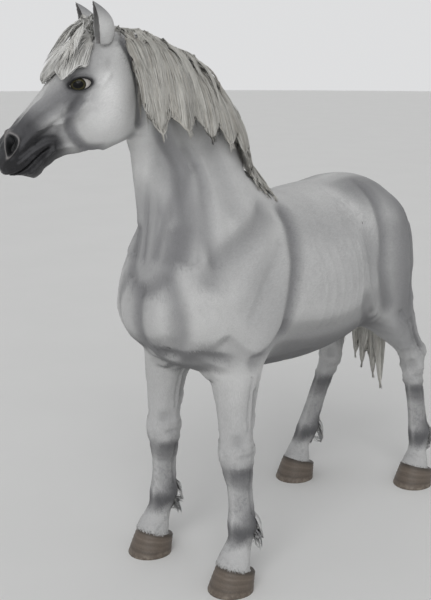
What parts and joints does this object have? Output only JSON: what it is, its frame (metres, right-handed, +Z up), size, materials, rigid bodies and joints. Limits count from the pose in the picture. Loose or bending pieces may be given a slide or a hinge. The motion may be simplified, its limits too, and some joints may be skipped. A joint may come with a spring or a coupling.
{
  "type": "grey draught-type horse, standing",
  "caption": "Life-size grey horse standing, head turned to its right, with falling mane, forelock and long tail.",
  "frame": {"origin": "middle of the bounding box, on the ground", "axes": "-Y the way the trunk faces, +X the horse's left side, +Z up"},
  "size_m": [0.663, 2.0572, 2.1643],
  "materials": {
    "coat": "short grey hair, dark skin at muzzle and eyes",
    "long_hair": "long off-white hair in locks",
    "horn": "brown-grey hoof horn with growth rings",
    "eye": "wet, dark"
  },
  "bodies": {
    "root": {"trunk": "coat", "neck": "coat", "head": "coat", "ear_left": "coat", "ear_right": "coat", "leg_fore_left_upper": "coat", "leg_fore_left_lower": "coat", "leg_fore_right_upper": "coat", "leg_fore_right_lower": "coat", "leg_hind_left_upper": "coat", "leg_hind_left_lower": "coat", "leg_hind_right_upper": "coat", "leg_hind_right_lower": "coat", "mane": "long_hair", "forelock": "long_hair", "tail": "long_hair", "hoof_fore_left": "horn", "hoof_fore_right": "horn", "hoof_hind_left": "horn", "hoof_hind_right": "horn", "eye_left": "eye", "eye_right": "eye"}
  },
  "joints": []
}
